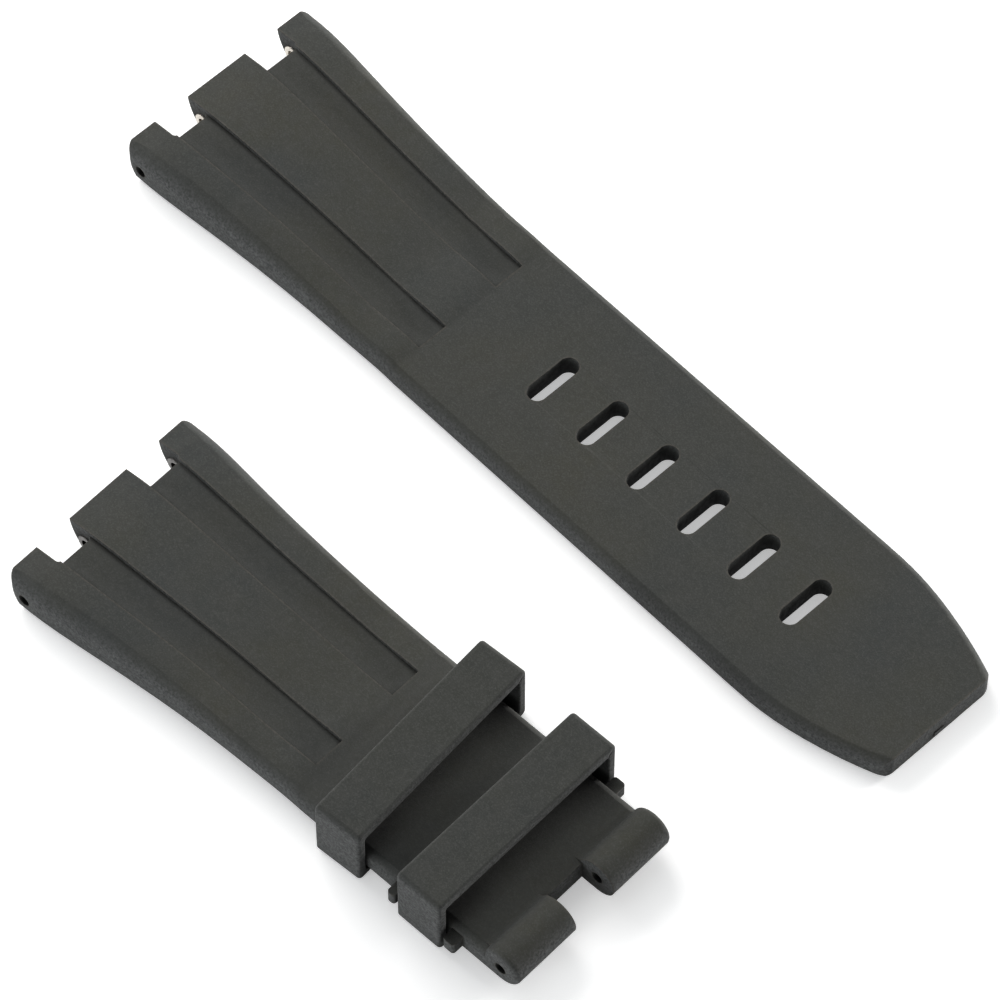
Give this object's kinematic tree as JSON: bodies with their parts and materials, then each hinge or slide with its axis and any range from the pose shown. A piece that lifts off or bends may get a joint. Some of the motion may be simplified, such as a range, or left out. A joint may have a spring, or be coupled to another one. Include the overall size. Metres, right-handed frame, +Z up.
{
  "type": "rubber dive strap",
  "caption": "Moulded rubber watch strap in two halves: a slotted tail with lug fingers and channels, and a buckle half with sliding keepers, stop nubs and hinge knuckles.",
  "frame": {"origin": "on the floor, in the middle of the box round the two halves as they lie", "axes": "+X runs from the lug end of the tail half to its tip, +Z is up, and the buckle half lies on the -Y side"},
  "size_m": [0.1166, 0.0759, 0.0091],
  "materials": {
    "rubber": "matt, fine-grained black rubber",
    "sleeve_steel": "plain drawn tube"
  },
  "bodies": {
    "tail_half": {"tail_strap": "rubber", "tail_lug_sleeve_left": "sleeve_steel", "tail_lug_sleeve_centre": "sleeve_steel", "tail_lug_sleeve_right": "sleeve_steel"},
    "buckle_half": {"buckle_strap": "rubber", "buckle_lug_sleeve_left": "sleeve_steel", "buckle_lug_sleeve_centre": "sleeve_steel", "buckle_lug_sleeve_right": "sleeve_steel", "knuckle_sleeve_left": "sleeve_steel", "knuckle_sleeve_right": "sleeve_steel"},
    "inner_keeper": {"inner_keeper": "rubber"},
    "outer_keeper": {"outer_keeper": "rubber"}
  },
  "joints": [
    {"name": "pair_spread", "type": "slide", "parent": "tail_half", "child": "buckle_half", "axis": [0, -1, 0], "range_m": [0, 0.02]},
    {"name": "inner_keeper_slide", "type": "slide", "parent": "buckle_half", "child": "inner_keeper", "axis": [0.9985, 0.055, 0], "range_m": [-0.0077, 0.0037]},
    {"name": "outer_keeper_slide", "type": "slide", "parent": "buckle_half", "child": "outer_keeper", "axis": [0.9985, 0.055, 0], "range_m": [-0.0003, 0.0003]}
  ]
}
